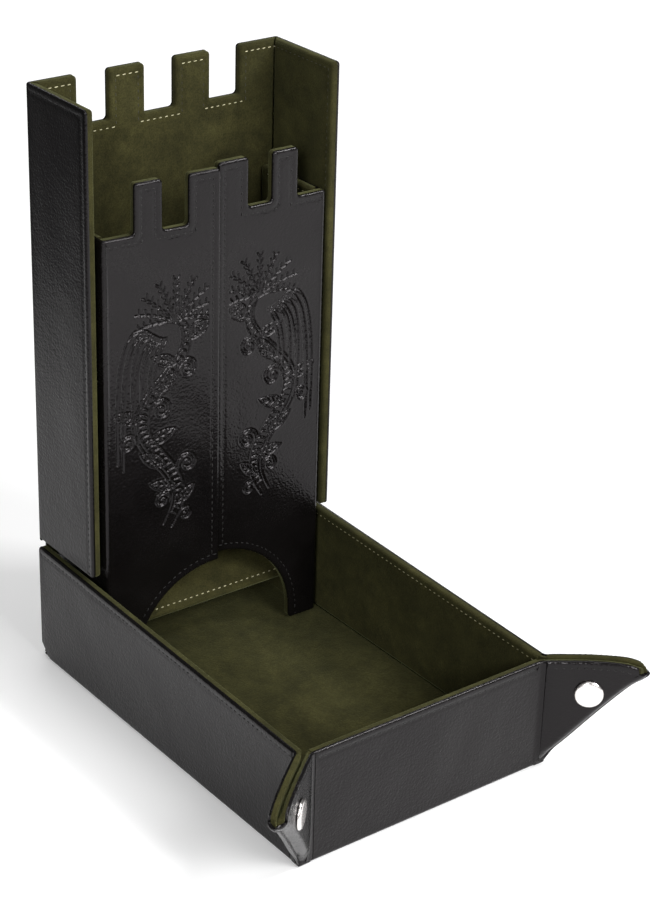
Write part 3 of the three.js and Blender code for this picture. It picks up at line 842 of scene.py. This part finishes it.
def normals_of(path):
    out = []
    for i in range(len(path)):
        a, b_ = path[max(i - 1, 0)], path[min(i + 1, len(path) - 1)]
        l = math.hypot(b_[0] - a[0], b_[1] - a[1])
        out.append((-(b_[1] - a[1]) / l, (b_[0] - a[0]) / l))
    return out

def reach_in(p, n, most, line):
    """How far one can go from p along n before crossing the line."""
    best = most
    for a, b_ in line:
        dx, dy = b_[0] - a[0], b_[1] - a[1]
        den = n[0] * dy - n[1] * dx
        if abs(den) < 1e-9:
            continue
        t = ((a[0] - p[0]) * dy - (a[1] - p[1]) * dx) / den
        q = ((a[0] - p[0]) * n[1] - (a[1] - p[1]) * n[0]) / den
        if -1e-6 <= q <= 1 + 1e-6 and t > -1e-6:
            best = min(best, max(t, 0.0))
    return best

def pinch_at(v):
    return np.clip(1 - (v - 0.4) / 9.0, 0, 1) ** 1.4

def ear(name, body, place, sign, kind):
    """sign 1 runs the ear along +u, -1 along -u. Low down, the ear's leather lies in the wall's plane."""
    tanw = math.tan(math.radians(50 if kind == "side" else 40))
    def out3(pts, h):
        pts = np.asarray(pts, float).reshape(-1, 2)
        h = np.asarray(h, float)
        lean = pinch_at(pts[:, 1]) * np.minimum(pts[:, 0] * tanw, 2.9)
        return np.column_stack([pts[:, 0] * sign, pts[:, 1], h + lean * np.clip(1 - h / MID, 0, 1)])
    N = normals_of(HYP)
    most = [reach_in(p, n, RC, TOP_SEGS) if p[0] > 30 else RC for p, n in zip(HYP, N)]
    most[-1] = 0.0
    inner = [(p[0] + n[0] * RC, p[1] + n[1] * RC) for p, n, m_ in zip(HYP, N, most) if m_ >= RC - 1e-6]
    k_end = len(inner)
    def tops(lowest_gap, du, dv):
        """The top line from where the inner path meets it, to the root."""
        return [(max(u, du), v - dv) for u, v in TOP if u < lowest_gap - 0.4]
    # flat part of the leather
    flat = [(max(u, ROOT), v) for u, v in inner]
    ring = [p for i, p in enumerate(flat) if i == 0 or math.hypot(p[0] - flat[i - 1][0], p[1] - flat[i - 1][1]) > 0.05]
    nh = len(ring)
    last = ring[-1]
    for p in tops(last[0], ROOT, 0.0):
        if math.hypot(p[0] - ring[-1][0], p[1] - ring[-1][1]) > 0.05:
            ring.append(p)
    fl = lambda pts: np.asarray(pts, float).reshape(-1, 2) * np.array([sign, 1.0])
    def flat_h(q):
        h = roundover(seg_dist(q, TOP_SEGS), R_COVER)
        ds = seg_dist(q, TOP_SEGS)
        h = h + 0.28 * np.exp(-((ds - 3.3) / 0.65) ** 2) - 0.12 * np.exp(-((ds - 1.7) / 0.85) ** 2)
        return h + waves(q, 31, 0.12, 22) * np.clip((seg_dist(q, edges_of(ring)) - 1.5) / 5, 0, 1)
    height = lambda pts: flat_h(fl(pts)) + pinch_at(fl(pts)[:, 1]) * np.minimum(fl(pts)[:, 0] * tanw, 2.9)
    extra = list(dots(ring, TOP_SEGS, step=1.2, far=3))
    TN = normals_of(TOP)
    for k in range(1, 6):
        d = R_COVER * (1 - math.cos(math.pi / 2 * k / 5))
        extra += [(u + n[0] * d, v + n[1] * d) for (u, v), n in zip(TOP, TN)]
    extra = np.array(extra)
    ok = inside(extra, ring) & (seg_dist(extra, edges_of(ring)) > 0.03)
    b = Builder()
    tp, tris = fill(ring, extra[ok])
    b.add(out3(tp, flat_h(tp)), tris)
    b.ribbon(out3(ring, flat_h(ring)), out3(ring, np.full(len(ring), TL)))
    bt, tris = fill(ring)
    b.add(out3(bt, np.full(len(bt), TL)), tris)
    finish_mesh(name + "_leather", b, place, LEATHER, body, "leather", [name + "_cover"])
    # folded edge: a quarter round up to the plane between the layers, cut by the top line
    b = Builder()
    rows = []
    for p, n, m_ in zip(HYP, N, most):
        dw = []
        for k in range(11):
            a = math.pi / 2 * k / 10
            dw.append((RC - RC * math.cos(a), MID - MID * math.sin(a)))
        for k in range(10, -1, -1):
            a = math.pi / 2 * k / 10
            dw.append((RC - (RC - TL) * math.cos(a), MID - (MID - TL) * math.sin(a)))
        row_p, row_w = [], []
        for k, (d, w) in enumerate(dw):
            if d > m_:
                d = m_
                if k <= 10:
                    w = MID - MID * math.sqrt(max(0, 1 - (1 - d / RC) ** 2))
                else:
                    w = MID - (MID - TL) * math.sqrt(max(0, 1 - ((RC - d) / (RC - TL)) ** 2)) if d > TL else MID
            row_p.append((max(p[0] + n[0] * d, min(p[0], ROOT)), p[1] + n[1] * d)); row_w.append(w)
        rows.append(out3(row_p, row_w))
    for lo, hi in zip(rows[:-1], rows[1:]):
        b.ribbon(lo, hi)
    m0 = len(rows[0])
    b.add(rows[0], [(i, i + 1, m0 - 2 - i, m0 - 1 - i) for i in range(m0 // 2 - 1)])
    edge = finish_mesh(name + "_folded_edge", b, place, LEATHER, body, "leather", angle=60)
    tuple(place.w)
    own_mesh(edge)
    # velvet, which fills the fold up to the plane between the layers
    T, r, d0 = EAR_T[kind], 1.1, 1.25
    most2 = [reach_in(p, n, RC, TOP_SEGS) if p[0] > 30 else RC for p, n in zip(HYP, N)]
    side = [(p[0] + n[0] * d0, p[1] + n[1] * d0) for p, n, m_ in zip(HYP, N, most2) if m_ > d0 + 0.5]
    low_side = [(p[0] + n[0] * 2.9, p[1] + n[1] * 2.9) for p, n, m_ in zip(HYP, N, most2) if m_ > d0 + 0.5]
    ring2, low2 = [], []
    for p, q in zip(side, low_side):
        p, q = (max(p[0], 0.9), p[1]), (max(q[0], 0.9), q[1])
        if not ring2 or math.hypot(p[0] - ring2[-1][0], p[1] - ring2[-1][1]) > 0.05:
            ring2.append(p); low2.append(q)
    end_u = ring2[-1][0]
    for u, v in TOP:
        if u < end_u - 0.3 and v > ring2[-1][1] - 3:
            p = (max(u, 0.9), v - 0.12)
            if math.hypot(p[0] - ring2[-1][0], p[1] - ring2[-1][1]) > 0.05:
                ring2.append(p)
                low2.append((min(p[0], low2[len(side) - 1][0] if len(low2) > len(side) - 1 else p[0]), p[1]))
    def lh(q):
        q = np.asarray(q, float).reshape(-1, 2)
        dh, dt = seg_dist(q, HYP_SEGS), seg_dist(q, TOP_SEGS)
        fat = (MID - 0.02 - T) * (1 - np.clip((dh - 3.2) / 3.0, 0, 1) ** 2 * (3 - 2 * np.clip((dh - 3.2) / 3.0, 0, 1)))
        return T + fat - roundover(dt, r) + waves(q, 37, 0.12, 16) * np.clip((seg_dist(q, edges_of(ring2)) - 1.5) / 5, 0, 1)
    extra = list(dots(ring2, [], step=1.1, far=1))
    for k in range(1, 6):
        d = r * (1 - math.cos(math.pi / 2 * k / 5)) + 0.12
        extra += [(u + n[0] * d, v + n[1] * d) for (u, v), n in zip(TOP, TN)]
    extra = np.array(extra)
    ok = inside(extra, ring2) & (seg_dist(extra, edges_of(ring2)) > 0.03)
    b = Builder()
    tp, tris = fill(ring2, extra[ok])
    b.add(out3(tp, lh(tp)), tris)
    b.ribbon(out3(low2, np.full(len(low2), 1.2)), out3(ring2, lh(ring2)))
    bt, tris = fill(low2)
    b.add(out3(bt, np.full(len(bt), 1.2)), tris)
    finish_mesh(name + "_velvet", b, place, VELVET, body, "velvet", [name + "_lining"])
    # stitching along the top edge
    path = [(u + n[0] * 3.3, v + n[1] * 3.3) for (u, v), n in zip(TOP, TN)]
    path = [(u * sign, v) for u, v in path if 3.0 < u < 38]
    black.setdefault(body, []).append((place, [path], height, -1))

pl_ls = Place((-HALF, FRONT_Y + CS, 0), (EC, ES, 0), Z)
pl_lf = Place((-HALF + CF, FRONT_Y, 0), (-EC, -ES, 0), Z)
pl_rs = Place((HALF, FRONT_Y + CS, 0), (EC, -ES, 0), Z)
pl_rf = Place((HALF - CF, FRONT_Y, 0), (-EC, ES, 0), Z)
ear("left_ear_side", "left_ear_side", pl_ls, -1, "side")
ear("left_ear_front", "left_ear_front", pl_lf, 1, "front")
ear("right_ear_side", "right_ear_side", pl_rs, 1, "side")
ear("right_ear_front", "right_ear_front", pl_rf, -1, "front")

# -------------------------------------------------------------------- folds
fold("floor_front_fold", "tray_floor", "front_wall", (-61.6, FRONT_Y, 0), (61.6, FRONT_Y, 0), (0, 1, 0), Z, (0, 0, -1), (0, -1, 0))
fold("floor_left_fold", "tray_floor", "left_wall", (-HALF, -92.7, 0), (-HALF, WALL_REAR_Y - 6, 0), X, Z, (0, 0, -1), (-1, 0, 0))
fold("floor_right_fold", "tray_floor", "right_wall", (HALF, -92.7, 0), (HALF, WALL_REAR_Y - 6, 0), (-1, 0, 0), Z, (0, 0, -1), X)
fold("floor_back_fold", "tray_floor", "tower", (-SPINE, BACK_Y, 0), (SPINE, BACK_Y, 0), (0, -1, 0), Z, (0, 0, -1), Y)
fold("left_wing_leather_fold", "tower", "left_wing", (-TOWER_HALF, BACK_Y, WING_Z0 - 1), (-TOWER_HALF, BACK_Y, TOWER_Z), X, (0, -1, 0), Y, (-1, 0, 0))
fold("right_wing_leather_fold", "tower", "right_wing", (TOWER_HALF, BACK_Y, WING_Z0 - 1), (TOWER_HALF, BACK_Y, TOWER_Z), (-1, 0, 0), (0, -1, 0), Y, X)
# velvet carried through the inside of the main folds
inner = dict(start=1.08, thick=1.7, mat=VELVET, slot="velvet")
fold("floor_front_velvet_fold", "tray_floor", "front_wall", (-57, FRONT_Y, 0), (57, FRONT_Y, 0), (0, 1, 0), Z, (0, 0, -1), (0, -1, 0), **inner)
fold("floor_left_velvet_fold", "tray_floor", "left_wall", (-HALF, -91.5, 0), (-HALF, WALL_REAR_Y - 6.5, 0), X, Z, (0, 0, -1), (-1, 0, 0), **inner)
fold("floor_right_velvet_fold", "tray_floor", "right_wall", (HALF, -91.5, 0), (HALF, WALL_REAR_Y - 6.5, 0), (-1, 0, 0), Z, (0, 0, -1), X, **inner)
fold("floor_back_velvet_fold", "tray_floor", "tower", (-SPINE + 1, BACK_Y, 0), (SPINE - 1, BACK_Y, 0), (0, -1, 0), Z, (0, 0, -1), Y, **inner)
fold("left_wing_velvet_fold", "tower", "left_wing", (-TOWER_HALF, BACK_Y, WING_Z0 + 0.5), (-TOWER_HALF, BACK_Y, TOWER_Z - 0.8), X, (0, -1, 0), Y, (-1, 0, 0), **inner)
fold("right_wing_velvet_fold", "tower", "right_wing", (TOWER_HALF, BACK_Y, WING_Z0 + 0.5), (TOWER_HALF, BACK_Y, TOWER_Z - 0.8), (-1, 0, 0), (0, -1, 0), Y, X, **inner)
fold("left_ear_side_crease", "left_wall", "left_ear_side", (-HALF, FRONT_Y + CS, 0.6), (-HALF, FRONT_Y + CS, WALL_H), Y, (-EC, -ES, 0), (-1, 0, 0), (-ES, EC, 0), D=1.3, lead_b=0.6, thick=1.1, start=0.12, pinch=True)
fold("left_ear_front_crease", "front_wall", "left_ear_front", (-HALF + CF, FRONT_Y, 0.6), (-HALF + CF, FRONT_Y, WALL_H), X, (-EC, -ES, 0), (0, -1, 0), (ES, -EC, 0), D=1.3, lead_b=0.6, thick=1.1, start=0.12, pinch=True)
fold("right_ear_side_crease", "right_wall", "right_ear_side", (HALF, FRONT_Y + CS, 0.6), (HALF, FRONT_Y + CS, WALL_H), Y, (EC, -ES, 0), X, (ES, EC, 0), D=1.3, lead_b=0.6, thick=1.1, start=0.12, pinch=True)
fold("right_ear_front_crease", "front_wall", "right_ear_front", (HALF - CF, FRONT_Y, 0.6), (HALF - CF, FRONT_Y, WALL_H), (-1, 0, 0), (EC, -ES, 0), (0, -1, 0), (-ES, -EC, 0), D=1.3, lead_b=0.6, thick=1.1, start=0.12, pinch=True)
def velvet_crease(name, a_body, b_body, F, a, bd, na, nb):
    o3 = lambda z: (F[0], F[1], z)
    fold(name, a_body, b_body, o3(2.6), o3(WALL_H - 0.45), a, bd, na, nb, D=0.95, start=1.15, thick=2.9, mat=VELVET, slot="velvet", pinch=True)
velvet_crease("left_ear_side_velvet_crease", "left_wall", "left_ear_side", (-HALF, FRONT_Y + CS), Y, (-EC, -ES, 0), (-1, 0, 0), (-ES, EC, 0))
velvet_crease("left_ear_front_velvet_crease", "front_wall", "left_ear_front", (-HALF + CF, FRONT_Y), X, (-EC, -ES, 0), (0, -1, 0), (ES, -EC, 0))
velvet_crease("right_ear_side_velvet_crease", "right_wall", "right_ear_side", (HALF, FRONT_Y + CS), Y, (EC, -ES, 0), X, (ES, EC, 0))
velvet_crease("right_ear_front_velvet_crease", "front_wall", "right_ear_front", (HALF - CF, FRONT_Y), (-1, 0, 0), (EC, -ES, 0), (0, -1, 0), (-ES, -EC, 0))
for side, sx in (("left", -1), ("right", 1)):
    # the leather gathered at the corner of the tray, under the ear
    plan = [(sx * 62.2, -92.4), (sx * 63.45, -92.6), (sx * 63.5, -96.2), (sx * 63.5, -97.2), (sx * 63.2, -97.5), (sx * 62.2, -97.5), (sx * 57.6, -97.45), (sx * 57.4, -96.2), (sx * 60.4, -94.6)]
    if sx > 0:
        plan = plan[::-1]
    b = Builder()
    cx, cy = sx * 61.5, -95.6
    rows = []
    for q, z in ((0.88, 0.25), (0.97, 0.55), (1.0, 1.0), (0.99, 2.4), (0.93, 3.2), (0.75, 3.8), (0.4, 4.2)):
        rows.append(np.array([(cx + (x - cx) * q, cy + (y - cy) * q, z) for x, y in plan]))
    for lo, hi in zip(rows[:-1], rows[1:]):
        b.ribbon(lo, hi)
    b.add(rows[0], [tuple(range(len(plan)))]); b.add(rows[-1], [tuple(range(len(plan)))])
    finish_mesh(side + "_corner_tuck", b, None, LEATHER, "tray_floor", "leather", angle=70)
for side, sx in (("left", -1), ("right", 1)):
    t = math.radians(AJAR[side])
    bdir = (math.cos(t), math.sin(t), 0) if sx < 0 else (-math.cos(t), -math.sin(t), 0)
    fold(side + "_door_hinge", "tower", side + "_door", (sx * INNER_HALF, DOOR_Y, DOOR_Z0), (sx * INNER_HALF, DOOR_Y, SHOULDER),
        Y, bdir, (sx, 0, 0), (math.sin(t), -math.cos(t), 0), lead_a=SIDE_FRONT - DOOR_Y - FOLD, thick=1.05)

# -------------------------------------------------------------------- thread
for body, items in black.items():
    stitches(body + "_black_stitching", items, THREAD, body, "thread")
for body, items in cream.items():
    # Painted shade: on the wings all lining stitches, and elsewhere except the ramp the upright runs, get the darker
    # copy of the cream thread.
    wing_in_painted_shade = body.endswith("_wing")
    stitches(body + "_lining_stitching", items, PAINTED_SHADE_THREAD if wing_in_painted_shade else CREAM, body, "lining_thread", wide=0.22, sink=0.05, only=None if wing_in_painted_shade or body == "ramp" else "level")
    if not wing_in_painted_shade and body != "ramp":
        stitches(body + "_lining_stitching_upright", items, PAINTED_SHADE_THREAD, body, "lining_thread", wide=0.22, sink=0.05, only="upright")

# --------------------------------------------------------------------- snaps
def lathe(name, node, body, place, u, z, profile, n=72):
    b = Builder()
    rows = [[(u + r * math.cos(2 * math.pi * k / n), z + r * math.sin(2 * math.pi * k / n), w) for k in range(n)] for r, w in profile if r > 1e-6]
    rows = [np.array(r) for r in rows]
    for lo, hi in zip(rows[:-1], rows[1:]):
        b.ribbon(lo, hi)
    b.add(rows[0], [tuple(range(n))]); b.add(rows[-1], [tuple(range(n))])
    return finish_mesh(name, b, place, NICKEL, body, "nickel", [node], angle=38, merge=0.002)

SNAP_Z = 36.5
snapF, snapS = 15.7 + CF * EC, 15.7 + CS * ES
cap = [(0.3, -1.62), (2.6, -1.60), (4.3, -1.55), (5.0, -1.48), (5.4, -1.36), (5.75, -1.12), (6.0, -0.80), (6.12, -0.50), (6.10, -0.25), (5.9, -0.02), (1.7, -0.02), (1.7, 2.9), (0.3, 2.9)]
post = [(0.3, -0.78), (2.0, -0.76), (3.0, -0.68), (3.5, -0.54), (3.75, -0.34), (3.78, -0.12), (3.6, -0.02), (1.7, -0.02), (1.7, 2.9), (0.3, 2.9)]
lathe("left_snap_cap_dome", "left_snap_cap", "left_ear_front", pl_lf, snapF, SNAP_Z, cap)
lathe("right_snap_cap_dome", "right_snap_cap", "right_ear_front", pl_rf, -snapF, SNAP_Z, cap)
lathe("left_snap_post_head", "left_snap_post", "left_ear_side", pl_ls, -snapS, SNAP_Z, post)
lathe("right_snap_post_head", "right_snap_post", "right_ear_side", pl_rs, snapS, SNAP_Z, post)
for n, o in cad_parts.items():
    mat = BOARD if n.endswith("_board") else NICKEL if "_snap_" in n else LEATHER if n.endswith("_cover") else VELVET
    o.data.materials.clear()
    o.data.materials.append(mat)

# --------------------------------------------------------- floor and lights
bm = bmesh.new()
bmesh.ops.create_grid(bm, x_segments=1, y_segments=1, size=8)
me = bpy.data.meshes.new("ground")
bm.to_mesh(me); bm.free()
ground = bpy.data.objects.new("ground", me)
ground.location = (0, 0, -0.0004)
scene.collection.objects.link(ground)
gm, nt, bsdf, co = material("ground_with_painted_glow_and_shade")
# painted shade: the sweep is white in front and behind, and falls off to grey at the far left, so that the leather
# reflects a darker floor there
sep = nt.nodes.new("ShaderNodeSeparateXYZ")
nt.links.new(co, sep.inputs[0])
glow_and_shade_axis = maths(nt, "ADD", maths(nt, "MULTIPLY", sep.outputs[0], -0.8), maths(nt, "MULTIPLY", sep.outputs[1], 0.6))
nt.links.new(ramp(nt, glow_and_shade_axis, [(0.30, (0.86, 0.86, 0.86)), (0.62, (0.20, 0.20, 0.20))]), bsdf.inputs["Base Color"])
bsdf.inputs["Roughness"].default_value = 0.85
bsdf.inputs["Specular IOR Level"].default_value = 0.1
# painted light: where it is white the ground also glows, which washes out its shadows and lights the front of the left
# wall
nt.links.new(ramp(nt, glow_and_shade_axis, [(0.30, (1, 1, 1)), (0.55, (0, 0, 0))]), bsdf.inputs["Emission Color"])
bsdf.inputs["Emission Strength"].default_value = 0.22
me.materials.append(gm)

def area(name, at, to, size, watts, colour=(1, 1, 1)):
    l = bpy.data.lights.new(name, "AREA")
    l.shape = "RECTANGLE"
    l.size, l.size_y = size
    l.energy = watts
    l.color = colour
    o = bpy.data.objects.new(name, l)
    o.location = at
    o.rotation_mode = "QUATERNION"
    o.rotation_quaternion = (Vector(to) - Vector(at)).to_track_quat("-Z", "Y")
    scene.collection.objects.link(o)
    return o
area("key", (0.30, -1.7, 1.15), (0, 0, 0.1), (1.1, 0.8), 34)
area("top", (0.2, 0.1, 1.9), (0.1, 0, 0), (1.0, 1.0), 8)
side = area("side", (-1.35, -1.25, 0.95), (0.07, 0.0, 0.10), (0.4, 0.6), 1.8)
side.data.spread = math.radians(55)
area("edge", (0.95, -0.74, 1.40), (0, 0, 0.15), (0.36, 0.36), 16)
area("backdrop", (1.1, 2.0, 1.5), (1.3, 2.6, 0), (1.6, 1.0), 46)
world = bpy.data.worlds.new("studio")
scene.world = world
world.use_nodes = True
world.node_tree.nodes["Background"].inputs["Color"].default_value = (1, 1, 1, 1)
world.node_tree.nodes["Background"].inputs["Strength"].default_value = 0.12
scene.view_settings.view_transform = "Standard"
